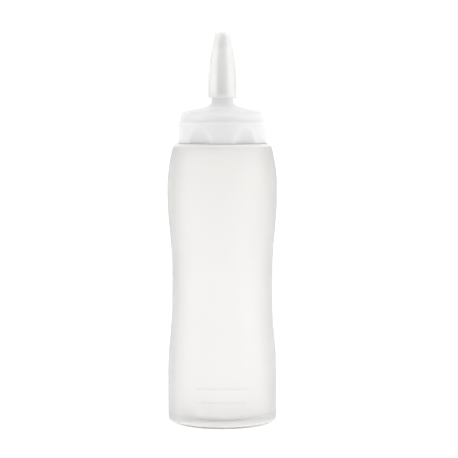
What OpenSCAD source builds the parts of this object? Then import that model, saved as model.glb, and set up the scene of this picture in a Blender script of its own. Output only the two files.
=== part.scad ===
// Squeezable sauce bottle with a waisted body, a screw lid that carries a two-stage spout, and a
// pull-off cover for the spout. Millimetres, +Z up, origin at the centre of the base on the table,
// write-on lines facing -Y.

/* [Body] */
// Widest diameter, at the upper bulge
bulge_d = 75; // [72:0.5:80]
// Diameter of the lower barrel
barrel_d = 74.4; // [71:0.1:80]
// Diameter of the hand-hold waist
waist_d = 68.8; // [62:0.2:71]
// Height where the lower barrel starts to draw in
barrel_top_z = 34; // [30:1:40]
// Height of the lower end of the waist
waist_low_z = 82; // [70:1:90]
// Height of the upper end of the waist
waist_high_z = 104; // [96:1:112]
// Height of the widest point of the bulge
bulge_z = 158; // [150:1:160]
// Height of the shoulder land that the lid closes down on
shoulder_z = 190.4; // [188:0.1:193]
// Radius of the long curve from the bulge up to the shoulder
bulge_curve_r = 120; // [110:1:150]
// Radius of the shoulder's rounded edge
shoulder_edge_r = 3; // [2.5:0.1:5]
// Radius of the heel round the base
heel_r = 2.6; // [2:0.1:4]
// Wall thickness of the body
body_wall = 1.3; // [1:0.1:2]

/* [Base] */
// Inner radius of the ring that the bottle stands on
foot_inner_r = 31.4; // [28:0.2:33]
// Height that the middle of the base is pushed up
push_up_h = 3.2; // [1.5:0.1:5]
// Radius of the flat middle of the push-up
push_up_r = 24; // [18:0.5:27]
// Length of the pinched seam across the push-up
seam_len = 44; // [30:1:48]
// Width of the pinched seam
seam_w = 1; // [0.6:0.1:1.6]
// Height of the pinched seam
seam_h = 0.7; // [0.4:0.1:1.2]

/* [Neck] */
// Outer diameter of the neck
neck_d = 49.6; // [48:0.1:50]
// Wall thickness of the neck
neck_wall = 1.6; // [1.2:0.1:2.2]
// Height of the neck's rim
neck_top_z = 207.4; // [206.5:0.1:207.6]

/* [Write-on lines] */
// Height of the lowest raised line
line_low_z = 8.3; // [6:0.1:10]
// Spacing from one raised line to the next
line_pitch = 9.5; // [7:0.1:9.6]
// Number of raised lines
line_count = 3; // [1:1:3]
// Arc that the longest line covers, in degrees
line_arc = 57; // [40:1:80]
// How much shorter each lower line is, in degrees
line_arc_step = 4; // [0:0.5:6]
// Width of a raised line
line_w = 0.8; // [0.5:0.1:1.2]
// Height of a raised line above the barrel
line_h = 0.3; // [0.15:0.05:0.3]

/* [Sealing ring] */
// Thickness of the sealing ring on the neck's rim
ring_t = 1.6; // [1:0.1:1.7]
// Inner diameter of the sealing ring
ring_inner_d = 46.6; // [46:0.1:47.5]
// Outer diameter of the sealing ring
ring_outer_d = 52.4; // [50.5:0.1:52.6]

/* [Lid] */
// Outer diameter of the grip skirt
lid_d = 60; // [59:0.5:61]
// Outer diameter of the lid above the grip skirt
lid_upper_d = 57.4; // [56.5:0.1:58.5]
// Inner diameter of the skirt
skirt_bore_d = 53; // [52.8:0.1:53.4]
// Gap between the skirt and the shoulder land
skirt_gap = 0.1; // [0.1:0.1:1]
// Height of the ledge where the grip skirt ends
skirt_top_z = 203.6; // [202:0.2:205]
// Height of the slope that joins the grip skirt to the lid's upper part
ledge_h = 2.6; // [1:0.1:3]
// Radius of the lid's upper edge
lid_edge_r = 3.8; // [2:0.1:4]
// Height of the centre of that edge
lid_edge_z = 208.1; // [207.9:0.1:209.5]
// Slope of the dome, in degrees
dome_slope = 13; // [10:0.5:16]
// Wall thickness of the dome and the spout's root
lid_wall = 1.8; // [1.4:0.1:2.2]

/* [Finger scoops] */
// Angle of the first scoop of a pair from the middle of the front, in degrees
scoop_angle = 30.5; // [28:0.5:34]
// Radius of the ball that shapes a scoop
scoop_ball_r = 37; // [30:1:45]
// Height of the ball's centre
scoop_z = 188; // [186:0.5:190]
// Depth of a scoop where it is deepest
scoop_depth = 2.55; // [1.5:0.05:2.6]

/* [Spout] */
// Radius of the collar that the cover closes round
collar_r = 7.3; // [6.8:0.1:7.4]
// Height of the top of the collar
collar_top_z = 222.3; // [222:0.1:223]
// Radius of the hollow curve from the dome up to the collar
flare_r = 5.5; // [4.5:0.1:6]
// Radius of the spout's lower stage
stage_low_r = 4.15; // [3.8:0.05:4.4]
// Radius of the spout's upper stage where it starts
stage_high_r = 3.2; // [2.9:0.05:3.5]
// Radius of the spout at its tip
tip_r = 2.85; // [2.6:0.05:3]
// Height where the lower stage ends
stage_step_z = 243.5; // [240:0.5:246]
// Height where the upper stage starts
stage_high_z = 249.5; // [248:0.5:252]
// Height of the tip
tip_z = 264; // [258:0.2:264]
// Radius of the channel in the lower stage
channel_r = 2.7; // [2:0.1:2.9]
// Radius of the orifice in the upper stage
orifice_r = 1.55; // [1.5:0.05:1.7]

/* [Nozzle cover] */
// Height of the top of the cover
cover_top_z = 266; // [265.5:0.1:268]
// Height of the cover's lower edge
cover_low_z = 220.9; // [220.7:0.1:221.4]
// Outer radius of the cover near its lower edge
cover_r = 9.5; // [9.2:0.1:10.5]
// Height up to which the cover's side is straight
cover_straight_z = 226; // [224:0.5:230]
// Height of the small shoulder under the cover's nose
nose_shoulder_z = 254.8; // [253:0.1:256]
// Outer radius of the cover at that shoulder
nose_shoulder_r = 7.25; // [7:0.05:8]
// Outer radius of the foot of the nose
nose_foot_r = 6.65; // [6.2:0.05:7]
// Outer radius of the flat top
nose_top_r = 4.85; // [4.5:0.05:6]
// Wall thickness of the cover
cover_wall = 1.2; // [0.9:0.05:1.4]
// Bore of the bead inside the lower edge, as a radius
bead_r = 7.65; // [7.6:0.05:7.9]
// Radius of the stopper that closes the orifice
stopper_r = 1.15; // [0.9:0.05:1.2]
// Length of the stopper under the cover's top
stopper_len = 4.6; // [3:0.1:6]

/* [Hidden] */
$fn = 96;

bulge_r = bulge_d / 2;
barrel_r = barrel_d / 2;
waist_r = waist_d / 2;
neck_r = neck_d / 2;
neck_bore_r = neck_r - neck_wall;
lid_r = lid_d / 2;
lid_upper_r = lid_upper_d / 2;
skirt_bore_r = skirt_bore_d / 2;
skirt_low_z = shoulder_z + skirt_gap;

// Small roundings, chamfers and gaps
rim_round = 0.5;
edge_round = 0.5;
neck_root = 0.8;
face_gap = 0.1;

// Sealing ring between the neck's rim and the seat in the lid
ring_low_z = neck_top_z + face_gap;
seat_z = ring_low_z + ring_t + face_gap;

// Spigot inside the lid that keeps the sealing ring centred, with a groove between it and the ring's seat
spigot_gap = 0.6;
spigot_wall = 1.2;
spigot_reach = 3.6;
spigot_chamfer = 0.4;
spigot_outer_r = neck_bore_r - spigot_gap;
spigot_inner_r = spigot_outer_r - spigot_wall;
spigot_low_z = neck_top_z - spigot_reach;
seat_groove_w = 1.3;
seat_groove_h = 1.5;

// Foot, push-up and floor of the body
floor_t = 1.5;
foot_outer_r = barrel_r - heel_r;

// How deep a write-on line is rooted in the wall, and the width of its flat crest
line_root = 0.4;
line_crest_w = line_w * 0.4;

// Dome line and the hollow curve that carries it up to the collar
dome_edge_cx = lid_upper_r - lid_edge_r;
dome_edge_x = dome_edge_cx + lid_edge_r * sin(dome_slope);
dome_edge_top = lid_edge_z + lid_edge_r * cos(dome_slope);
flare_cx = collar_r + flare_r;
flare_x = flare_cx - flare_r * sin(dome_slope);
flare_foot_z = dome_edge_top + (dome_edge_x - flare_x) * tan(dome_slope);
flare_cz = flare_foot_z + flare_r * cos(dome_slope);

// Root and draw of the spout, and the roof under the collar where the funnel meets the channel
spout_root_r = 0.8;
spout_draw = 0.1;
roof_t = 1.5;
funnel_w = 1.7;
funnel_h = 0.9;
roof_turn = 13;

// Details of the nozzle cover
cover_edge_r = 1.3;
cover_top_t = 1.6;
nose_step_h = 1.7;
bead_low = 0.3;
bead_high = 1.9;
bead_slope_h = 0.9;
stopper_chamfer = 0.4;

// Points along an arc round (cx, cz), from angle a0 to angle a1
function arc(cx, cz, r, a0, a1, n = 8) =
    [for (i = [0:n]) let (a = a0 + (a1 - a0) * i / n) [cx + r * cos(a), cz + r * sin(a)]];

// Smooth step from (r0, z0) to (r1, z1), upright at both ends
function ease(r0, z0, r1, z1, n = 14) =
    [for (i = [0:n]) [r0 + (r1 - r0) * (1 - cos(180 * i / n)) / 2, z0 + (z1 - z0) * i / n]];

function reversed(points) = [for (i = [len(points) - 1:-1:0]) points[i]];

// Underside of the push-up, level at its flat middle and again at the foot, raised by lift for the floor
function push_up(lift) =
    concat(
        [[0, push_up_h + lift]],
        [for (i = [0:8]) [
            push_up_r + (foot_inner_r - push_up_r) * i / 8,
            lift + push_up_h * (1 + cos(180 * i / 8)) / 2
        ]]
    );

// Side of the body from the barrel to the shoulder land, moved in by the wall for the inside.
// The bulge's long curve runs into the shoulder's rounded edge without a corner.
function body_side(inset) =
    let (
        long_r = bulge_curve_r - inset,
        edge_r = shoulder_edge_r - inset,
        long_cx = bulge_r - bulge_curve_r,
        edge_cz = shoulder_z - shoulder_edge_r,
        rise = edge_cz - bulge_z,
        reach = bulge_curve_r - shoulder_edge_r,
        edge_cx = long_cx + sqrt(reach * reach - rise * rise),
        turn = asin(rise / reach)
    )
    concat(
        ease(barrel_r - inset, barrel_top_z, waist_r - inset, waist_low_z),
        ease(waist_r - inset, waist_high_z, bulge_r - inset, bulge_z, 16),
        arc(long_cx, bulge_z, long_r, turn / 10, turn, 9),
        arc(edge_cx, edge_cz, edge_r, turn + 10, 90, 7)
    );

// Outline of half the body's wall: foot and heel, side, neck and back down the inside
function body_outline() =
    concat(
        push_up(0),
        arc(foot_outer_r, heel_r, heel_r, -90, 0, 7),
        body_side(0),
        [[neck_r + neck_root, shoulder_z], [neck_r, shoulder_z + neck_root]],
        arc(neck_r - rim_round, neck_top_z - rim_round, rim_round, 0, 90, 3),
        arc(neck_bore_r + rim_round, neck_top_z - rim_round, rim_round, 90, 180, 3),
        [[neck_bore_r, shoulder_z - body_wall / 2], [neck_bore_r + body_wall, shoulder_z - body_wall]],
        reversed(body_side(body_wall)),
        arc(foot_outer_r - body_wall, heel_r + floor_t, heel_r, 0, -90, 7),
        reversed(push_up(floor_t))
    );

// One raised line: a low ridge that runs round the front of the barrel
module write_on_line(z, arc_deg) {
    ridge = [
        [barrel_r - line_root, z - line_w / 2],
        [barrel_r, z - line_w / 2],
        [barrel_r + line_h, z - line_crest_w / 2],
        [barrel_r + line_h, z + line_crest_w / 2],
        [barrel_r, z + line_w / 2],
        [barrel_r - line_root, z + line_w / 2]
    ];
    rotate([0, 0, -90 - arc_deg / 2])
        rotate_extrude(angle = arc_deg)
            polygon(ridge);
}

// Seam where the moulding was pinched shut, on the underside of the push-up
module pinch_seam() {
    translate([-seam_len / 2, -seam_w / 2, push_up_h - seam_h])
        cube([seam_len, seam_w, seam_h + floor_t / 2]);
}

module bottle() {
    color([0.93, 0.94, 0.93])
    union() {
        rotate_extrude() polygon(body_outline());
        for (i = [0:line_count - 1])
            write_on_line(line_low_z + i * line_pitch, line_arc - (line_count - 1 - i) * line_arc_step);
        pinch_seam();
    }
}

module sealing_ring() {
    round_r = 0.3;
    top_z = ring_low_z + ring_t;
    in_r = ring_inner_d / 2;
    out_r = ring_outer_d / 2;
    section = concat(
        arc(out_r - round_r, ring_low_z + round_r, round_r, -90, 0, 3),
        arc(out_r - round_r, top_z - round_r, round_r, 0, 90, 3),
        arc(in_r + round_r, top_z - round_r, round_r, 90, 180, 3),
        arc(in_r + round_r, ring_low_z + round_r, round_r, 180, 270, 3)
    );
    color([0.80, 0.82, 0.82]) rotate_extrude() polygon(section);
}

// Outside of the lid: grip skirt, ledge, upper edge, dome, hollow flare, collar and spout
function lid_outside() =
    concat(
        [[lid_r - edge_round, skirt_low_z], [lid_r, skirt_low_z + edge_round]],
        ease(lid_r, skirt_top_z, lid_upper_r, skirt_top_z + ledge_h, 8),
        arc(dome_edge_cx, lid_edge_z, lid_edge_r, 0, 90 - dome_slope, 8),
        arc(flare_cx, flare_cz, flare_r, 270 - dome_slope, 180, 9),
        arc(collar_r - edge_round, collar_top_z - edge_round, edge_round, 0, 90, 3),
        arc(stage_low_r + spout_root_r, collar_top_z + spout_root_r, spout_root_r, 270, 180, 4),
        ease(stage_low_r - spout_draw, stage_step_z, stage_high_r, stage_high_z, 7),
        [[tip_r, tip_z - edge_round / 2], [tip_r - edge_round / 2, tip_z]]
    );

// Inside of the lid: orifice, channel, funnel, dome, spigot, ring seat and skirt bore.
// The wall keeps one thickness round the dome and the flare.
function lid_inside() =
    let (
        inner_flare_r = flare_r + lid_wall,
        funnel_low_z = collar_top_z - roof_t,
        dome_low_z = flare_cz - inner_flare_r * cos(dome_slope)
            - (spigot_inner_r - flare_cx + inner_flare_r * sin(dome_slope)) * tan(dome_slope),
        seat_inner_r = spigot_outer_r + seat_groove_w,
        groove_z = seat_z + seat_groove_h
    )
    concat(
        [[orifice_r, tip_z], [orifice_r, stage_high_z], [channel_r, stage_step_z]],
        [[channel_r, funnel_low_z + funnel_h], [channel_r + funnel_w, funnel_low_z]],
        arc(flare_cx, flare_cz, inner_flare_r, 180 + roof_turn, 270 - dome_slope, 8),
        [[spigot_inner_r, dome_low_z], [spigot_inner_r, spigot_low_z + spigot_chamfer]],
        [[spigot_inner_r + spigot_chamfer, spigot_low_z], [spigot_outer_r - spigot_chamfer, spigot_low_z]],
        [[spigot_outer_r, spigot_low_z + spigot_chamfer], [spigot_outer_r, groove_z]],
        [[seat_inner_r, groove_z], [seat_inner_r, seat_z]],
        [[skirt_bore_r, seat_z], [skirt_bore_r, skirt_low_z]]
    );

// Ball-shaped scoops for the fingers, in a front pair and a back pair, open at the skirt's lower edge
module finger_scoops() {
    reach = lid_r - scoop_depth + scoop_ball_r;
    for (side = [0, 180], turn = [-scoop_angle, scoop_angle])
        rotate([0, 0, side + turn])
            translate([0, -reach, scoop_z])
                sphere(r = scoop_ball_r);
}

module lid() {
    color([0.96, 0.96, 0.96])
    difference() {
        rotate_extrude() polygon(concat(lid_outside(), lid_inside()));
        finger_scoops();
    }
}

// Outline of half the nozzle cover: lower edge, side, nose, then the inside with bead and stopper
function cover_outline() =
    let (
        drop_r = cover_r - nose_shoulder_r,
        drop_z = nose_shoulder_z - cover_straight_z,
        side_r = (drop_r * drop_r + drop_z * drop_z) / (2 * drop_r),
        side_turn = asin(drop_z / side_r),
        bead_top_z = cover_low_z + bead_high,
        nose_foot_z = nose_shoulder_z + nose_step_h,
        top_in_z = cover_top_z - cover_top_t,
        stopper_z = top_in_z - stopper_len
    )
    concat(
        arc(cover_r - cover_edge_r, cover_low_z + cover_edge_r, cover_edge_r, -75, 0, 5),
        arc(cover_r - side_r, cover_straight_z, side_r, 0, side_turn * 12 / 13, 12),
        ease(nose_shoulder_r, nose_shoulder_z, nose_foot_r, nose_foot_z, 4),
        arc(nose_top_r - edge_round, cover_top_z - edge_round, edge_round, 12, 90, 4),
        [[0, cover_top_z], [0, stopper_z]],
        [[stopper_r - stopper_chamfer, stopper_z], [stopper_r, stopper_z + stopper_chamfer]],
        [[stopper_r, top_in_z], [nose_top_r - cover_wall, top_in_z]],
        [[nose_foot_r - cover_wall, nose_foot_z], [nose_shoulder_r - cover_wall, nose_shoulder_z]],
        reversed(arc(cover_r - side_r, cover_straight_z, side_r - cover_wall, 0, side_turn * 11 / 12, 11)),
        [[cover_r - cover_wall, bead_top_z + bead_slope_h], [bead_r, bead_top_z]],
        [[bead_r, cover_low_z + bead_low]]
    );

module nozzle_cover() {
    color([0.85, 0.90, 0.94, 0.45]) rotate_extrude() polygon(cover_outline());
}

bottle();
sealing_ring();
lid();
nozzle_cover();
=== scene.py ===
import math

import bpy
import numpy as np
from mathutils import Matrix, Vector


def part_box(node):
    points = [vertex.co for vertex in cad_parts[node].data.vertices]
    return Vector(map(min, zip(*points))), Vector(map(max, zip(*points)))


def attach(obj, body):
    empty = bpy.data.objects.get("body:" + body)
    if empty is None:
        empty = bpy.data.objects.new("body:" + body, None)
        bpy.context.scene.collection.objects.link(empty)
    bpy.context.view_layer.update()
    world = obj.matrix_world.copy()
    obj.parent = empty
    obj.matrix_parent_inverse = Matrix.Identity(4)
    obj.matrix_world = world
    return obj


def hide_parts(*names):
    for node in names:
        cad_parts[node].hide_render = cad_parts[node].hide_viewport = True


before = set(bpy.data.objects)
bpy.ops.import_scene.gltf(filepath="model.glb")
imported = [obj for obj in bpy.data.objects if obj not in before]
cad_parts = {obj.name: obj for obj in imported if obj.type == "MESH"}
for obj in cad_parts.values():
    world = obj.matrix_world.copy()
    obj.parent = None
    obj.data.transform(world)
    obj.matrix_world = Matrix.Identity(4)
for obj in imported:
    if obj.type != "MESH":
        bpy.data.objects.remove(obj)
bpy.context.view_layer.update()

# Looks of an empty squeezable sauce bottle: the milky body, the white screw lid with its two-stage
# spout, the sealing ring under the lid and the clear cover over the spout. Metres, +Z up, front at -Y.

MM = 0.001

# Body, from the frame's box and the same driving sizes as the solids
bottle_low, bottle_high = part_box("bottle")
BULGE_R = bottle_high.x
NECK_TOP = bottle_high.z
BARREL_R = 37.2 * MM
WAIST_R = 34.4 * MM
BARREL_TOP = 34 * MM
WAIST_LOW = 82 * MM
WAIST_HIGH = 104 * MM
BULGE_Z = 158 * MM
SHOULDER = 190.4 * MM
LONG_CURVE_R = 120 * MM
SHOULDER_EDGE_R = 3 * MM
HEEL_R = 2.6 * MM
BODY_WALL = 1.3 * MM
FLOOR_T = 1.5 * MM
FOOT_INNER_R = 31.4 * MM
PUSH_UP = 3.2 * MM
PUSH_UP_R = 24 * MM
SEAM_LEN = 44 * MM
SEAM_W = 1.0 * MM
SEAM_H = 0.7 * MM
PARTING_H = 0.07 * MM
PARTING_W = 0.22 * MM
NECK_R = 24.8 * MM
NECK_WALL = 1.6 * MM
NECK_ROOT_R = 0.8 * MM
SHOULDER_FLAT = 6 * MM

# Angles of the columns beside each parting line, in degrees from it, and how far the even ones keep clear
NEAR_PARTING = (-1.6, -1.2, -0.85, -0.55, -0.34, -0.17, 0, 0.17, 0.34, 0.55, 0.85, 1.2, 1.6)
PARTING_CLEAR = 1.9

# Where the bottle's plastic and its painted shade change: distances from the axis, then heights, each from
# one look to the next.
# The painted shade greys the outer skin of the rounded foot, darkens the write-on lines and darkens the body
# towards its top.
FOOT_SHADE_OUT_FROM = (BARREL_R - 1.0 * MM, BARREL_R - 0.7 * MM)
LINE_SHADE_FROM = (BARREL_R + 0.1 * MM, BARREL_R + 0.22 * MM)
LEVEL_FLOOR_TO = (21 * MM, 25 * MM)
FLOOR_UP_TO = (5.0 * MM, 5.5 * MM)
FOOT_SHADE_UP_TO = (7.1 * MM, 7.7 * MM)
LINE_SHADE_UP_TO = (30 * MM, 32 * MM)
TOP_SHADE_FROM = (90 * MM, 175 * MM)
MILKIER_FROM = (SHOULDER - 3.4 * MM, SHOULDER - 1.2 * MM)

# Write-on lines
LINE_LOW = 8.3 * MM
LINE_PITCH = 9.5 * MM
LINE_W = 0.8 * MM
LINE_H = 0.3 * MM
LINE_ARCS = (49, 53, 57)
LINE_FADE = 1.2 * MM
FRONT = -90

# Thread between neck and lid: two starts, and half a pitch between the neck's ridges and the lid's
LEAD = 8 * MM
STARTS = 2
THREAD_H = 1.1 * MM
THREAD_ROOT = 1.9 * MM
THREAD_CREST = 0.9 * MM
THREAD_LOW = 196.4 * MM
THREAD_TURNS = 1.06
THREAD_SUNK = 0.3
THREAD_FADE = 38

# Sealing ring
ring_low, ring_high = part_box("sealing_ring")
RING_IN_R = 23.3 * MM
RING_ROUND = 0.4 * MM

# Lid and spout
lid_low, lid_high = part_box("lid")
LID_R = lid_high.x
SKIRT_LOW = lid_low.z
TIP = lid_high.z
LID_UPPER_R = 28.7 * MM
SKIRT_BORE_R = 26.5 * MM
SKIRT_TOP = 203.6 * MM
LEDGE = 2.6 * MM
LID_EDGE_R = 3.8 * MM
LID_EDGE_Z = 208.1 * MM
DOME_SLOPE = 13
LID_WALL = 1.8 * MM
SCOOP_ANGLE = 30.5
SCOOP_BALL_R = 37 * MM
SCOOP_Z = 188 * MM
SCOOP_DEPTH = 2.55 * MM
SCOOP_SOFT = 0.35 * MM
COLLAR_R = 7.3 * MM
COLLAR_TOP = 222.3 * MM
FLARE_R = 5.5 * MM
STAGE_LOW_R = 4.15 * MM
STAGE_HIGH_R = 3.2 * MM
TIP_R = 2.85 * MM
STAGE_STEP = 243.5 * MM
STAGE_HIGH = 249.5 * MM
STAGE_TAPER = 0.1 * MM
SPOUT_FOOT_R = 0.8 * MM
SPOUT_FOOT_Z = COLLAR_TOP + 0.85 * MM
CHANNEL_R = 2.7 * MM
FUNNEL_R = CHANNEL_R + 1.7 * MM
FUNNEL_TOP = COLLAR_TOP - 0.6 * MM
FUNNEL_FOOT = COLLAR_TOP - 1.5 * MM
ORIFICE_R = 1.55 * MM
SEAT_Z = ring_high.z + 0.1 * MM
SPIGOT_R = 22.6 * MM
SPIGOT_WALL = 1.2 * MM
SPIGOT_LOW = NECK_TOP - 3.6 * MM
SEAT_IN_R = 23.9 * MM
SEAT_GROOVE = 1.5 * MM
GROOVE_FALL = 0.2 * MM
BORE_EDGE = 0.3 * MM
EDGE = 0.5 * MM

# Nozzle cover
cover_low, cover_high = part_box("nozzle_cover")
COVER_R = cover_high.x
COVER_LOW = cover_low.z
COVER_TOP = cover_high.z
COVER_STRAIGHT = 226 * MM
NOSE_SHOULDER = 254.8 * MM
NOSE_SHOULDER_R = 7.25 * MM
NOSE_SETBACK = 0.02 * MM
NOSE_FOOT = 256.5 * MM
NOSE_FOOT_R = 6.65 * MM
NOSE_TOP_R = 4.85 * MM
COVER_WALL = 1.2 * MM
COVER_TOP_T = 1.6 * MM
COVER_EDGE = 1.3 * MM
BEAD_R = 7.65 * MM
BEAD_LOW = COVER_LOW + 0.4 * MM
BEAD_HIGH = COVER_LOW + 1.9 * MM
BEAD_END = COVER_LOW + 2.8 * MM
BEAD_EDGE = 0.35 * MM
STOPPER_R = 1.15 * MM
STOPPER_LEN = 4.6 * MM
STOPPER_EDGE = 0.3 * MM

# Where the cover's plastic changes: the heights from its cloudy foot and to its cloudy top
COVER_FOOT_TO = (COVER_LOW + 2.0 * MM, COVER_LOW + 4.0 * MM)
COVER_TOP_FROM = (COVER_TOP - 1.8 * MM, COVER_TOP - 1.2 * MM)

# How far light spreads under the surface of the white lid and the pale seal
SCATTER_DEPTH = 3 * MM

# Camera, worked out from the photograph, whose frame is a square of PHOTO_SIDE pixels
PHOTO_SIDE = 458
OBJECT_COLUMN = 222.3
FOCAL_PIXELS = 1612
CAMERA_DISTANCE = 1.1
CAMERA_HEIGHT = 0.218
AIM_HEIGHT = 0.1318
SENSOR = 36

# Light: the strength of the white tent behind the bottle and of its dimmer front, how far the bright side
# is turned to the right in degrees, the cosines between which front becomes back, the glow of the light
# table and half its width, three softboxes in watts with their places and sizes, and the point they face
TENT = 1.04
TENT_FRONT = 0.45
TENT_TURN = 17
TENT_CHANGE = (-0.9, 0.25)
TABLE_GLOW = 1.02
TABLE_HALF = 30.0
LIGHT_LEFT = 3.2
LIGHT_RIGHT = 3.2
LIGHT_TOP = 2.2
SIDE_PLACE = (1.0, -0.45, 0.4)
SIDE_SIZE = (0.8, 1.0)
TOP_PLACE = (0, -0.25, 1.3)
TOP_SIZE = (0.9, 0.9)
LIT_POINT = (0, 0, 0.13)


def arc(cx, cz, radius, start, stop, steps):
    """Points (radius, height) on a circle round (cx, cz), by the cosine and sine of evenly spaced angles."""
    turn = np.radians(np.linspace(start, stop, steps))
    return np.stack([cx + radius * np.cos(turn), cz + radius * np.sin(turn)], axis=1)


def eased(r0, z0, r1, z1, steps):
    """Points whose height grows evenly while the radius goes from r0 to r1 by half a cosine wave."""
    t = np.linspace(0, 1, steps)
    return np.stack([r0 + (r1 - r0) * (1 - np.cos(np.pi * t)) / 2, z0 + (z1 - z0) * t], axis=1)


def straight(r0, z0, r1, z1, steps):
    """Points on a straight line, closer together near both ends by half a cosine wave."""
    t = (1 - np.cos(np.pi * np.linspace(0, 1, steps))) / 2
    return np.stack([r0 + (r1 - r0) * t, z0 + (z1 - z0) * t], axis=1)


def joined(*stretches):
    """One outline from several stretches, without the points that lie on the one before."""
    points = np.concatenate(stretches)
    gap = np.hypot(*np.diff(points, axis=0).T)
    return points[np.r_[True, gap > 1e-6]]


def bump(x):
    """A smooth hill: half a cosine wave squared, 1 at x = 0 and 0 from x = 1 on either side."""
    return np.where(np.abs(x) < 1, np.cos(np.clip(x, -1, 1) * np.pi / 2) ** 2, 0)


def smooth_least(a, b, soft):
    """The smaller of a and b, rounded over where they differ by less than soft."""
    h = np.clip(0.5 + 0.5 * (b - a) / soft, 0, 1)
    return b * (1 - h) + a * h - soft * h * (1 - h)


def add_mesh(name, points, quads, triangles=()):
    """A smooth-shaded mesh object from an array of points and arrays of corner numbers."""
    mesh = bpy.data.meshes.new(name)
    faces = np.asarray(quads).tolist() + np.asarray(triangles, int).tolist()
    mesh.from_pydata(np.asarray(points, float).tolist(), [], faces)
    mesh.polygons.foreach_set("use_smooth", np.ones(len(mesh.polygons), bool))
    mesh.update()
    piece = bpy.data.objects.new(name, mesh)
    bpy.context.scene.collection.objects.link(piece)
    return piece


def closed_skin(name, grid, pole_first=None, pole_last=None):
    """A closed surface over a grid of points, rows by columns by 3. Columns close on themselves. The rows
    end in a pole at either end where one is given, and otherwise close on themselves too."""
    rows, columns = grid.shape[:2]
    row = np.arange(rows if pole_first is None else rows - 1)
    i, j = np.meshgrid(row, np.arange(columns), indexing="ij")
    up, right = (i + 1) % rows, (j + 1) % columns
    corners = [(i, j), (i, right), (up, right), (up, j)]
    quads = np.stack([(a * columns + b).ravel() for a, b in corners], axis=1)
    points, fans = grid.reshape(-1, 3), np.zeros((0, 3), int)
    if pole_first is not None:
        column = np.arange(columns)
        beside = (column + 1) % columns
        last = (rows - 1) * columns
        first_pole, last_pole = len(points), len(points) + 1
        points = np.concatenate([points, [pole_first], [pole_last]])
        fans = np.concatenate([
            np.stack([np.full(columns, first_pole), beside, column], axis=1),
            np.stack([last + column, last + beside, np.full(columns, last_pole)], axis=1),
        ])
    return add_mesh(name, points, quads, fans)


def lathe(name, radius, height, angles):
    """Every outline point goes once round Z: x and y are its radius times the cosine and sine of the angle.
    radius and height are arrays of outline points by angles. An outline that starts and ends on the axis
    gets a pole at either end."""
    grid = np.stack([radius * np.cos(angles), radius * np.sin(angles), height], axis=2)
    if radius[0].max() < 1e-7:
        return closed_skin(name, grid[1:-1], grid[0, 0], grid[-1, 0])
    return closed_skin(name, grid)


def even_angles(count):
    """count angles round the circle, in radians."""
    return np.linspace(0, 2 * np.pi, count, endpoint=False)


def all_round(outline, angles):
    """The outline's radii and heights, each repeated for every angle."""
    return (np.repeat(outline[:, k:k + 1], len(angles), axis=1) for k in (0, 1))


def body_side(inset, detail=1.0):
    """Barrel, waist, bulge, long curve and shoulder edge, moved in by inset: cosine steps, then two arcs
    that meet in line because the small one's centre lies on the large one's radius. detail scales how many
    points each stretch gets."""
    low, high, long_curve, edge = (round(detail * steps) for steps in (36, 40, 22, 12))
    reach = LONG_CURVE_R - SHOULDER_EDGE_R
    rise = SHOULDER - SHOULDER_EDGE_R - BULGE_Z
    long_cx = BULGE_R - LONG_CURVE_R
    edge_cx = long_cx + math.sqrt(reach**2 - rise**2)
    turn = math.degrees(math.asin(rise / reach))
    return joined(
        eased(BARREL_R - inset, BARREL_TOP, WAIST_R - inset, WAIST_LOW, low),
        eased(WAIST_R - inset, WAIST_HIGH, BULGE_R - inset, BULGE_Z, high),
        arc(long_cx, BULGE_Z, LONG_CURVE_R - inset, 0, turn, long_curve),
        arc(edge_cx, SHOULDER - SHOULDER_EDGE_R, SHOULDER_EDGE_R - inset, turn, 90, edge),
    )


def push_up(lift):
    """Floor from the axis out to the foot: level, then down by half a cosine wave."""
    t = np.linspace(0, 1, 14)
    middle = np.linspace(0, PUSH_UP_R, 12)
    slope = np.stack([
        PUSH_UP_R + (FOOT_INNER_R - PUSH_UP_R) * t,
        lift + PUSH_UP * (1 + np.cos(np.pi * t)) / 2,
    ], axis=1)
    return joined(np.stack([middle, np.full(12, lift + PUSH_UP)], axis=1), slope)


def barrel_heights():
    """Heights up the straight barrel, close together across each write-on line."""
    across = np.linspace(-1, 1, 9) * LINE_W / 2
    lines = [LINE_LOW + k * LINE_PITCH + across for k in range(len(LINE_ARCS))]
    plain = np.linspace(HEEL_R, BARREL_TOP, 14)
    heights = np.unique(np.concatenate([plain, *lines]))
    return heights[np.r_[True, np.diff(heights) > 0.05 * MM]]


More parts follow.
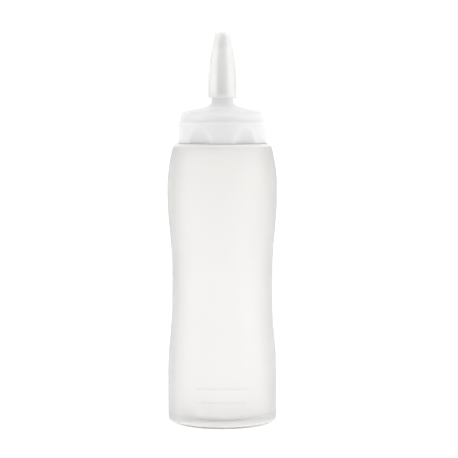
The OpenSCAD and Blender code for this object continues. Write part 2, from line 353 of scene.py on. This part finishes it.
def make_bottle():
    """The body: an outline of wall and floor turned round Z, with the write-on lines, the parting line of
    the mould at either side and the pinched seam under the floor added as smooth hills."""
    foot_outer = BARREL_R - HEEL_R
    bore = NECK_R - NECK_WALL
    heights = barrel_heights()
    barrel = np.stack([np.full(len(heights), BARREL_R), heights], axis=1)
    under = push_up(0)
    outside = joined(
        under,
        straight(FOOT_INNER_R, 0, foot_outer, 0, 6),
        arc(foot_outer, HEEL_R, HEEL_R, -90, 0, 12),
        barrel,
        body_side(0),
        straight(NECK_R + SHOULDER_FLAT, SHOULDER, NECK_R + NECK_ROOT_R, SHOULDER, 6),
        arc(NECK_R + NECK_ROOT_R, SHOULDER + NECK_ROOT_R, NECK_ROOT_R, 270, 180, 6),
        straight(NECK_R, SHOULDER + NECK_ROOT_R, NECK_R, NECK_TOP - EDGE, 10),
        arc(NECK_R - EDGE, NECK_TOP - EDGE, EDGE, 0, 90, 6),
        arc(bore + EDGE, NECK_TOP - EDGE, EDGE, 90, 180, 6),
    )
    inside = joined(
        straight(bore, NECK_TOP - EDGE, bore, SHOULDER - BODY_WALL / 2, 10),
        straight(bore, SHOULDER - BODY_WALL / 2, bore + BODY_WALL, SHOULDER - BODY_WALL, 4),
        body_side(BODY_WALL, 0.6)[::-1],
        straight(BARREL_R - BODY_WALL, BARREL_TOP, BARREL_R - BODY_WALL, HEEL_R + FLOOR_T, 8),
        arc(foot_outer - BODY_WALL, HEEL_R + FLOOR_T, HEEL_R, 0, -90, 8),
        push_up(FLOOR_T)[::-1],
    )
    outline = joined(outside, inside)
    r, z = outline[:, :1], outline[:, 1:]
    outer = (np.arange(len(outline)) < len(outside))[:, None]

    near = np.array(NEAR_PARTING)
    even = np.degrees(even_angles(240)) - 180
    clear = np.abs((even + 90) % 180 - 90) > PARTING_CLEAR
    degrees = np.sort(np.concatenate([even[clear], near, near + 180]))
    angles = np.radians(degrees)

    radius, height = all_round(outline, angles)
    from_front = np.abs((degrees - FRONT + 180) % 360 - 180) * math.pi / 180 * BARREL_R
    for k, arc_degrees in enumerate(LINE_ARCS):
        half = math.radians(arc_degrees / 2) * BARREL_R
        end = np.clip((half - from_front) / LINE_FADE, 0, 1)
        hill = bump((z - LINE_LOW - k * LINE_PITCH) / (LINE_W / 2))
        radius = radius + np.where(outer & (r > foot_outer), LINE_H * hill * end, 0)
    across = radius * np.sin(angles)
    parting = bump(across / PARTING_W) * np.where(r > NECK_R, 1, 0)
    on_side = outer & (z > HEEL_R) & (z < SHOULDER - EDGE)
    radius = radius + np.where(on_side, PARTING_H * parting, 0)
    on_floor = outer & (z < PUSH_UP + 1e-6) & (r < FOOT_INNER_R)
    along = np.clip((SEAM_LEN / 2 - np.abs(radius * np.cos(angles))) / MM, 0, 1)
    height = height - np.where(on_floor, SEAM_H * bump(across / (SEAM_W / 2)) ** 0.5 * along, 0)
    return lathe("bottle_body", radius, height, angles)


def make_thread(name, root_r, way, low):
    """Ridges with a rounded section, carried up a helix round Z: the height grows by LEAD each turn. way is 1
    for ridges that stand out of the neck and -1 for ridges that stand into the lid. Round the section, out is
    the distance from the wall as a share of THREAD_H: swing times a cosine, plus lift, cut off at the crest
    and, sunk in the wall, at the root. Its sides follow the sine, made steeper by flank. Each ridge fades at
    its ends by the square root of the way to them, which stops at least."""
    steps, corners = 190, 14
    swing, lift, flank, least = 0.9, 0.35, 1.6, 0.02
    turn = np.linspace(0, 2 * np.pi * THREAD_TURNS, steps)[:, None]
    fade = np.sqrt(np.clip(np.minimum(turn, turn[-1] - turn) / math.radians(THREAD_FADE), least, 1))
    around = np.linspace(0, 2 * np.pi, corners, endpoint=False)[None, :]
    out = np.clip(np.cos(around) * swing + lift, -THREAD_SUNK, 1)
    half = np.interp(out, [-THREAD_SUNK, 0, 1], [THREAD_ROOT / 2, THREAD_ROOT / 2, THREAD_CREST / 2])
    side = np.sign(np.sin(around)) * np.minimum(np.abs(np.sin(around)) * flank, 1) * half
    made = []
    for start in range(STARTS):
        a = turn + 2 * np.pi * start / STARTS
        r = root_r + way * THREAD_H * out * fade
        z = low + LEAD * turn / (2 * np.pi) + side * fade * way
        grid = np.stack([r * np.cos(a), r * np.sin(a), z], axis=2)[::-1]
        middle = grid.mean(axis=1)
        made.append(closed_skin(f"{name}_{start + 1}", grid, middle[0], middle[-1]))
    return made


def make_sealing_ring():
    """A flat ring with rounded edges: a rounded rectangle turned round Z."""
    out_r, low, high, k = ring_high.x, ring_low.z, ring_high.z, RING_ROUND
    outline = joined(
        straight(RING_IN_R + k, low, out_r - k, low, 6),
        arc(out_r - k, low + k, k, -90, 0, 6),
        arc(out_r - k, high - k, k, 0, 90, 6),
        straight(out_r - k, high, RING_IN_R + k, high, 6),
        arc(RING_IN_R + k, high - k, k, 90, 180, 6),
        arc(RING_IN_R + k, low + k, k, 180, 269, 6),
    )
    angles = even_angles(180)
    return lathe("sealing_ring_body", *all_round(outline, angles), angles)


def scooped(angles, height):
    """Radius of the grip skirt: the skirt's own, or less where one of four balls cuts it. Along a level ray
    from the axis the ball's near side is at reach cos a - sqrt(ball^2 - (reach sin a)^2 - rise^2)."""
    reach = LID_R - SCOOP_DEPTH + SCOOP_BALL_R
    least = np.full(np.broadcast(angles, height).shape, LID_R)
    for centre in (FRONT - SCOOP_ANGLE, FRONT + SCOOP_ANGLE, -FRONT - SCOOP_ANGLE, -FRONT + SCOOP_ANGLE):
        a = angles - math.radians(centre)
        inside = SCOOP_BALL_R**2 - (reach * np.sin(a)) ** 2 - (height - SCOOP_Z) ** 2
        ball = reach * np.cos(a) - np.sqrt(np.maximum(inside, 0))
        ball = np.where((inside > 0) & (np.cos(a) > 0), ball, LID_R + MM)
        least = smooth_least(least, ball, SCOOP_SOFT)
    return least


def make_lid():
    """The lid and its spout in one moulding: an outline turned round Z, with the skirt drawn in where the
    finger scoops cut it."""
    cos_s, sin_s = math.cos(math.radians(DOME_SLOPE)), math.sin(math.radians(DOME_SLOPE))
    tan_s = sin_s / cos_s
    edge_cx = LID_UPPER_R - LID_EDGE_R
    edge_x, edge_top = edge_cx + LID_EDGE_R * sin_s, LID_EDGE_Z + LID_EDGE_R * cos_s
    flare_cx = COLLAR_R + FLARE_R
    flare_x = flare_cx - FLARE_R * sin_s
    flare_foot = edge_top + (edge_x - flare_x) * tan_s
    flare_cz = flare_foot + FLARE_R * cos_s
    inner_flare = FLARE_R + LID_WALL
    roof_x = SPIGOT_R - SPIGOT_WALL
    inner_foot_x, inner_foot_z = flare_cx - inner_flare * sin_s, flare_cz - inner_flare * cos_s
    roof_z = inner_foot_z - (roof_x - inner_foot_x) * tan_s
    low_r = STAGE_LOW_R - STAGE_TAPER
    groove_top = SEAT_Z + SEAT_GROOVE
    skirt = joined(
        arc(LID_R - EDGE / 2, SKIRT_LOW + EDGE / 2, EDGE / 2, -90, 0, 5),
        np.stack([np.full(44, LID_R), np.linspace(SKIRT_LOW + EDGE, SKIRT_TOP, 44)], axis=1),
    )
    outside = joined(
        skirt,
        eased(LID_R, SKIRT_TOP, LID_UPPER_R, SKIRT_TOP + LEDGE, 12),
        straight(LID_UPPER_R, SKIRT_TOP + LEDGE, LID_UPPER_R, LID_EDGE_Z, 5),
        arc(edge_cx, LID_EDGE_Z, LID_EDGE_R, 0, 90 - DOME_SLOPE, 12),
        straight(edge_x, edge_top, flare_x, flare_foot, 12),
        arc(flare_cx, flare_cz, FLARE_R, 270 - DOME_SLOPE, 180, 14),
        arc(COLLAR_R - EDGE, COLLAR_TOP - EDGE, EDGE, 0, 86, 6),
        arc(STAGE_LOW_R + SPOUT_FOOT_R, SPOUT_FOOT_Z, SPOUT_FOOT_R, 262, 180, 6),
        straight(STAGE_LOW_R, SPOUT_FOOT_Z, low_r, STAGE_STEP, 8),
        eased(low_r, STAGE_STEP, STAGE_HIGH_R, STAGE_HIGH, 12),
        straight(STAGE_HIGH_R, STAGE_HIGH, TIP_R, TIP - EDGE / 2, 8),
        arc(TIP_R - EDGE / 2, TIP - EDGE / 2, EDGE / 2, 4, 90, 5),
    )
    inside = joined(
        arc(ORIFICE_R + EDGE / 2, TIP - EDGE / 2, EDGE / 2, 90, 180, 5),
        straight(ORIFICE_R, TIP - EDGE / 2, ORIFICE_R, STAGE_HIGH, 6),
        eased(ORIFICE_R, STAGE_HIGH, CHANNEL_R, STAGE_STEP, 8),
        straight(CHANNEL_R, STAGE_STEP, CHANNEL_R, FUNNEL_TOP, 6),
        straight(CHANNEL_R, FUNNEL_TOP, FUNNEL_R, FUNNEL_FOOT, 4),
        arc(flare_cx, flare_cz, inner_flare, 180 + DOME_SLOPE, 270 - DOME_SLOPE, 12),
        straight(inner_foot_x, inner_foot_z, roof_x, roof_z, 8),
        straight(roof_x, roof_z, roof_x, SPIGOT_LOW + SPIGOT_WALL / 2, 6),
        arc(SPIGOT_R - SPIGOT_WALL / 2, SPIGOT_LOW + SPIGOT_WALL / 2, SPIGOT_WALL / 2, 180, 360, 8),
        straight(SPIGOT_R, SPIGOT_LOW + SPIGOT_WALL / 2, SPIGOT_R, groove_top, 6),
        straight(SPIGOT_R, groove_top, SEAT_IN_R, groove_top - GROOVE_FALL, 4),
        straight(SEAT_IN_R, groove_top - GROOVE_FALL, SEAT_IN_R, SEAT_Z, 4),
        straight(SEAT_IN_R, SEAT_Z, SKIRT_BORE_R, SEAT_Z, 4),
        straight(SKIRT_BORE_R, SEAT_Z, SKIRT_BORE_R, SKIRT_LOW + BORE_EDGE, 8),
        arc(SKIRT_BORE_R + BORE_EDGE, SKIRT_LOW + BORE_EDGE, BORE_EDGE, 180, 268, 5),
    )
    outline = joined(outside, inside)
    angles = even_angles(320)
    radius, height = all_round(outline, angles)
    cut = LID_R - scooped(angles[None, :], height)
    on_skirt = (np.arange(len(outline)) < len(skirt))[:, None]
    radius = np.where(on_skirt, radius - cut, radius)
    return lathe("lid_body", radius, height, angles)


def make_cover():
    """The nozzle cover: an outline from the stopper's end, down the inside, round the lower edge, up the
    bowed side and the nose to the flat top, turned round Z."""
    drop_r, drop_z = COVER_R - NOSE_SHOULDER_R, NOSE_SHOULDER - COVER_STRAIGHT
    bow_r = (drop_r**2 + drop_z**2) / (2 * drop_r)
    bow = math.degrees(math.asin(drop_z / bow_r))
    bow_inside, bow_outside = bow * 0.97, bow * 0.985
    bow_cx = COVER_R - bow_r
    top_in = COVER_TOP - COVER_TOP_T
    nose_in = NOSE_TOP_R - COVER_WALL
    under_top = (nose_in + 0.05 * MM, top_in - 0.4 * MM)
    stopper_end = top_in - STOPPER_LEN
    k = STOPPER_EDGE
    inside = joined(
        straight(0, stopper_end, STOPPER_R - k, stopper_end, 4),
        arc(STOPPER_R - k, stopper_end + k, k, -90, 0, 5),
        straight(STOPPER_R, stopper_end + k, STOPPER_R, top_in - k, 6),
        arc(STOPPER_R + k, top_in - k, k, 180, 90, 5),
        straight(STOPPER_R + k, top_in, nose_in - k, top_in, 4),
        arc(nose_in - k, top_in - k, k, 90, 10, 5),
        straight(*under_top, NOSE_FOOT_R - COVER_WALL, NOSE_FOOT, 8),
        eased(NOSE_FOOT_R - COVER_WALL, NOSE_FOOT, NOSE_SHOULDER_R - COVER_WALL, NOSE_SHOULDER, 5),
        arc(bow_cx, COVER_STRAIGHT, bow_r - COVER_WALL, bow_inside, 0, 24),
        straight(COVER_R - COVER_WALL, COVER_STRAIGHT, COVER_R - COVER_WALL, BEAD_END, 5),
        eased(COVER_R - COVER_WALL, BEAD_END, BEAD_R, BEAD_HIGH, 6),
        straight(BEAD_R, BEAD_HIGH, BEAD_R, BEAD_LOW, 5),
        arc(BEAD_R + BEAD_EDGE, BEAD_LOW, BEAD_EDGE, 180, 262, 5),
    )
    outside = joined(
        arc(COVER_R - COVER_EDGE, COVER_LOW + COVER_EDGE, COVER_EDGE, -80, 0, 9),
        straight(COVER_R, COVER_LOW + COVER_EDGE, COVER_R, COVER_STRAIGHT, 6),
        arc(bow_cx, COVER_STRAIGHT, bow_r, 0, bow_outside, 26),
        eased(NOSE_SHOULDER_R - NOSE_SETBACK, NOSE_SHOULDER, NOSE_FOOT_R, NOSE_FOOT, 8),
        straight(NOSE_FOOT_R, NOSE_FOOT, NOSE_TOP_R, COVER_TOP - EDGE, 8),
        arc(NOSE_TOP_R - EDGE, COVER_TOP - EDGE, EDGE, 10, 90, 8),
        straight(NOSE_TOP_R - EDGE, COVER_TOP, 0, COVER_TOP, 6),
    )
    outline = joined(inside, outside)
    angles = even_angles(160)
    return lathe("nozzle_cover_body", *all_round(outline, angles), angles)


def plastic(name, colour, roughness, see_through, ior=1.5, scatter=0.0, absorbed=0.0, wall_tint=(1, 1, 1)):
    """A moulded plastic. see_through is the share that passes the surface, scatter the share that spreads
    under it, and absorbed the density of the wall, per metre, which takes the light that wall_tint lacks.
    Returns the material, its node tree and its Principled node."""
    material = bpy.data.materials.new(name)
    material.use_nodes = True
    tree = material.node_tree
    shader = tree.nodes["Principled BSDF"]
    shader.inputs["Base Color"].default_value = (*colour, 1)
    shader.inputs["Roughness"].default_value = roughness
    shader.inputs["IOR"].default_value = ior
    shader.inputs["Transmission Weight"].default_value = see_through
    shader.inputs["Subsurface Weight"].default_value = scatter
    shader.inputs["Subsurface Radius"].default_value = (1, 1, 1)
    shader.inputs["Subsurface Scale"].default_value = SCATTER_DEPTH
    if absorbed:
        wall = tree.nodes.new("ShaderNodeVolumeAbsorption")
        wall.inputs["Color"].default_value = (*wall_tint, 1)
        wall.inputs["Density"].default_value = absorbed
        tree.links.new(wall.outputs["Volume"], tree.nodes["Material Output"].inputs["Volume"])
    return material, tree, shader


def noise(tree, scale, detail, stretch=(1, 1, 1)):
    """Noise in the piece's own coordinates: scale is waves per metre, and stretch weighs each axis."""
    place = tree.nodes.new("ShaderNodeTexCoord")
    mapping = tree.nodes.new("ShaderNodeMapping")
    mapping.inputs["Scale"].default_value = stretch
    pattern = tree.nodes.new("ShaderNodeTexNoise")
    pattern.inputs["Scale"].default_value = scale
    pattern.inputs["Detail"].default_value = detail
    tree.links.new(place.outputs["Object"], mapping.inputs["Vector"])
    tree.links.new(mapping.outputs["Vector"], pattern.inputs["Vector"])
    return pattern.outputs["Fac"]


def spread(tree, factor, low, high, start=0.3, stop=0.7):
    """factor from start to stop becomes low to high."""
    node = tree.nodes.new("ShaderNodeMapRange")
    node.inputs["From Min"].default_value = start
    node.inputs["From Max"].default_value = stop
    for name, value in (("To Min", low), ("To Max", high)):
        if isinstance(value, (int, float)):
            node.inputs[name].default_value = value
        else:
            tree.links.new(value, node.inputs[name])
    tree.links.new(factor, node.inputs["Value"])
    return node.outputs["Result"]


def height(tree):
    """Height above the piece's origin, in metres."""
    place = tree.nodes.new("ShaderNodeTexCoord")
    parts = tree.nodes.new("ShaderNodeSeparateXYZ")
    tree.links.new(place.outputs["Object"], parts.inputs["Vector"])
    return parts.outputs["Z"]


def distance(tree):
    """Distance from the piece's upright axis, in metres."""
    place = tree.nodes.new("ShaderNodeTexCoord")
    level = tree.nodes.new("ShaderNodeVectorMath")
    level.operation = "MULTIPLY"
    level.inputs[1].default_value = (1, 1, 0)
    length = tree.nodes.new("ShaderNodeVectorMath")
    length.operation = "LENGTH"
    tree.links.new(place.outputs["Object"], level.inputs[0])
    tree.links.new(level.outputs["Vector"], length.inputs[0])
    return length.outputs["Value"]


def tint(tree, factor, first, second):
    """A colour between first and second by factor."""
    node = tree.nodes.new("ShaderNodeMix")
    node.data_type = "RGBA"
    for socket, value in ((node.inputs[6], first), (node.inputs[7], second)):
        if isinstance(value, tuple):
            socket.default_value = (*value, 1)
        else:
            tree.links.new(value, socket)
    tree.links.new(factor, node.inputs[0])
    return node.outputs[2]


def grain(tree, shader, factor, depth, strength):
    """A bump of depth metres from factor, weakened to strength."""
    node = tree.nodes.new("ShaderNodeBump")
    node.inputs["Strength"].default_value = strength
    node.inputs["Distance"].default_value = depth
    tree.links.new(factor, node.inputs["Height"])
    tree.links.new(node.outputs["Normal"], shader.inputs["Normal"])


def milky_bottle_material():
    """Soft blow-moulded polyethylene: cloudy, with faint upright flow bands and a fine satin grain. Its
    colour holds
    painted shade: a little darker up the bulge towards the top, grey in the outer skin of the rounded foot
    and darker on the write-on lines. It is smooth and clear in the level floor, and milkier from the shoulder
    up."""
    wall_clear, floor_clear, neck_clear = 0.87, 1.0, 0.3
    material, tree, shader = plastic(
        "milky_bottle_plastic", (0.98, 0.975, 0.965), 0.32, wall_clear,
        ior=1.35, absorbed=20, wall_tint=(0.5, 0.45, 0.4),
    )
    bands = noise(tree, 60, 2, (1, 1, 0.12))
    colour = tint(tree, spread(tree, bands, 0, 1), (0.975, 0.97, 0.96), (0.99, 0.985, 0.98))
    up, out = height(tree), distance(tree)
    # Painted shade: the body's colour turns a little darker towards its top, where less light falls on it
    painted_top_shade = spread(tree, up, 0, 1, *TOP_SHADE_FROM)
    colour = tint(tree, painted_top_shade, colour, (0.965, 0.96, 0.95))
    # Painted shade: the outer skin of the rounded foot is coloured grey where the bottle meets the floor
    painted_heel_shade = spread(tree, up, spread(tree, out, 0, 1, *FOOT_SHADE_OUT_FROM), 0, *FOOT_SHADE_UP_TO)
    colour = tint(tree, painted_heel_shade, colour, (0.92, 0.92, 0.92))
    # Painted shade: the raised write-on lines are coloured darker so that they show as shaded ridges
    ridge = spread(tree, up, spread(tree, out, 0, 1, *LINE_SHADE_FROM), 0, *LINE_SHADE_UP_TO)
    colour = tint(tree, ridge, colour, (0.78, 0.78, 0.78))
    tree.links.new(colour, shader.inputs["Base Color"])
    floor = spread(tree, up, spread(tree, out, 1, 0, *LEVEL_FLOOR_TO), 0, *FLOOR_UP_TO)
    satin = spread(tree, noise(tree, 120, 3), 0.29, 0.36)
    tree.links.new(spread(tree, floor, satin, 0.08, 0, 1), shader.inputs["Roughness"])
    milkier = spread(tree, up, 0, 1, *MILKIER_FROM)
    clear = spread(tree, milkier, spread(tree, floor, wall_clear, floor_clear, 0, 1), neck_clear, 0, 1)
    tree.links.new(clear, shader.inputs["Transmission Weight"])
    grain(tree, shader, noise(tree, 500, 2), 0.015 * MM, 0.6)
    return material


def white_lid_material():
    """Injection-moulded polyethylene of the lid: white, with light spreading under a half-gloss surface."""
    material, tree, shader = plastic("white_lid_plastic", (0.9, 0.9, 0.9), 0.35, 0.0, scatter=1.0)
    cloud = noise(tree, 90, 2)
    colour = tint(tree, spread(tree, cloud, 0, 1), (0.745, 0.745, 0.745), (0.775, 0.775, 0.775))
    tree.links.new(colour, shader.inputs["Base Color"])
    tree.links.new(spread(tree, noise(tree, 200, 3), 0.29, 0.38), shader.inputs["Roughness"])
    grain(tree, shader, noise(tree, 500, 2), 0.008 * MM, 0.5)
    return material


def clear_cover_material():
    """Clear moulded polypropylene with a trace of haze, cloudier in the thick foot and in the flat top."""
    side_clear, foot_clear, top_clear = 0.84, 0.55, 0.7
    material, tree, shader = plastic(
        "clear_cover_plastic", (0.99, 0.99, 0.985), 0.3, 0.95,
        ior=1.18, absorbed=14, wall_tint=(0.5, 0.5, 0.48),
    )
    haze = noise(tree, 260, 3, (1, 1, 0.2))
    tree.links.new(spread(tree, haze, 0.285, 0.32), shader.inputs["Roughness"])
    up = height(tree)
    side = spread(tree, up, foot_clear, side_clear, *COVER_FOOT_TO)
    clear = spread(tree, up, side, top_clear, *COVER_TOP_FROM)
    tree.links.new(clear, shader.inputs["Transmission Weight"])
    return material


def seal_material():
    """Pale silicone of the sealing ring, dull and slightly dusty."""
    material, tree, shader = plastic(
        "pale_seal_silicone", (0.80, 0.82, 0.82), 0.55, 0.0, ior=1.42, scatter=0.4
    )
    cloud = noise(tree, 300, 3)
    colour = tint(tree, spread(tree, cloud, 0, 1), (0.78, 0.80, 0.80), (0.84, 0.86, 0.86))
    tree.links.new(colour, shader.inputs["Base Color"])
    tree.links.new(spread(tree, noise(tree, 700, 2), 0.5, 0.65), shader.inputs["Roughness"])
    grain(tree, shader, noise(tree, 2500, 2), 0.01 * MM, 0.6)
    return material


def fit(piece, body, slot, material, *nodes):
    """Gives a piece its material and its body, and hides the nodes that it stands for. slot is not used."""
    piece.data.materials.append(material)
    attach(piece, body)
    if nodes:
        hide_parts(*nodes)


def make_floor():
    """A large pale light table with a trace of mottling."""
    half = TABLE_HALF
    corners = [(-half, -half, 0), (half, -half, 0), (half, half, 0), (-half, half, 0)]
    floor = add_mesh("studio_floor", corners, [(0, 1, 2, 3)])
    material, tree, shader = plastic("light_table_top", (0.15, 0.15, 0.15), 0.9, 0.0)
    colour = tint(tree, spread(tree, noise(tree, 3, 2), 0, 1), (0.14, 0.14, 0.14), (0.16, 0.16, 0.16))
    tree.links.new(colour, shader.inputs["Base Color"])
    shader.inputs["Specular IOR Level"].default_value = 0.1
    shader.inputs["Emission Color"].default_value = (1, 1, 1, 1)
    shader.inputs["Emission Strength"].default_value = TABLE_GLOW
    floor.data.materials.append(material)


def facing(place, aim):
    """The turn that makes a light or camera at place look at aim, upright."""
    return (Vector(aim) - Vector(place)).to_track_quat("-Z", "Y").to_euler()


def softbox(name, place, size, power):
    """A rectangular soft light at place, facing the bottle."""
    data = bpy.data.lights.new(name, "AREA")
    data.shape = "RECTANGLE"
    data.size, data.size_y = size
    data.energy = power
    light = bpy.data.objects.new(name, data)
    bpy.context.scene.collection.objects.link(light)
    light.location = place
    light.rotation_euler = facing(place, LIT_POINT)


def make_studio():
    """White surroundings and soft lights."""
    world = bpy.data.worlds.new("studio_white")
    bpy.context.scene.world = world
    world.use_nodes = True
    tree = world.node_tree
    direction = tree.nodes.new("ShaderNodeTexCoord")
    back = tree.nodes.new("ShaderNodeVectorMath")
    back.operation = "DOT_PRODUCT"
    turn = math.radians(TENT_TURN)
    back.inputs[1].default_value = (math.sin(turn), math.cos(turn), 0)
    tree.links.new(direction.outputs["Generated"], back.inputs[0])
    level = spread(tree, back.outputs["Value"], TENT_FRONT, TENT, *TENT_CHANGE)
    tree.links.new(level, tree.nodes["Background"].inputs["Strength"])
    tree.nodes["Background"].inputs["Color"].default_value = (1, 1, 1, 1)
    x, y, z = SIDE_PLACE
    softbox("side_light_left", (-x, y, z), SIDE_SIZE, LIGHT_LEFT)
    softbox("side_light_right", (x, y, z), SIDE_SIZE, LIGHT_RIGHT)
    softbox("top_light", TOP_PLACE, TOP_SIZE, LIGHT_TOP)
    bpy.context.scene.view_settings.view_transform = "Standard"


def make_camera():
    """The photograph's camera: its height, distance and aim, and a small sideways shift for the framing."""
    data = bpy.data.cameras.new("photo_camera")
    data.sensor_width = SENSOR
    data.lens = FOCAL_PIXELS / PHOTO_SIDE * SENSOR
    data.shift_x = (PHOTO_SIDE / 2 - OBJECT_COLUMN) / PHOTO_SIDE
    camera = bpy.data.objects.new("photo_camera", data)
    bpy.context.scene.collection.objects.link(camera)
    camera.location = (0, -CAMERA_DISTANCE, CAMERA_HEIGHT)
    camera.rotation_euler = facing(camera.location, (0, 0, AIM_HEIGHT))
    bpy.context.scene.camera = camera


make_camera()
make_studio()
make_floor()

milky = milky_bottle_material()
white = white_lid_material()
fit(make_bottle(), "bottle", "milky_bottle", milky, "bottle")
for ridge in make_thread("neck_thread", NECK_R, 1, THREAD_LOW):
    fit(ridge, "bottle", "milky_bottle", milky)
fit(make_sealing_ring(), "sealing_ring", "seal", seal_material(), "sealing_ring")
fit(make_lid(), "lid", "milky_lid", white, "lid")
for ridge in make_thread("lid_thread", SKIRT_BORE_R, -1, THREAD_LOW - LEAD / STARTS / 2):
    fit(ridge, "lid", "milky_lid", white)
fit(make_cover(), "nozzle_cover", "clear_cover", clear_cover_material(), "nozzle_cover")
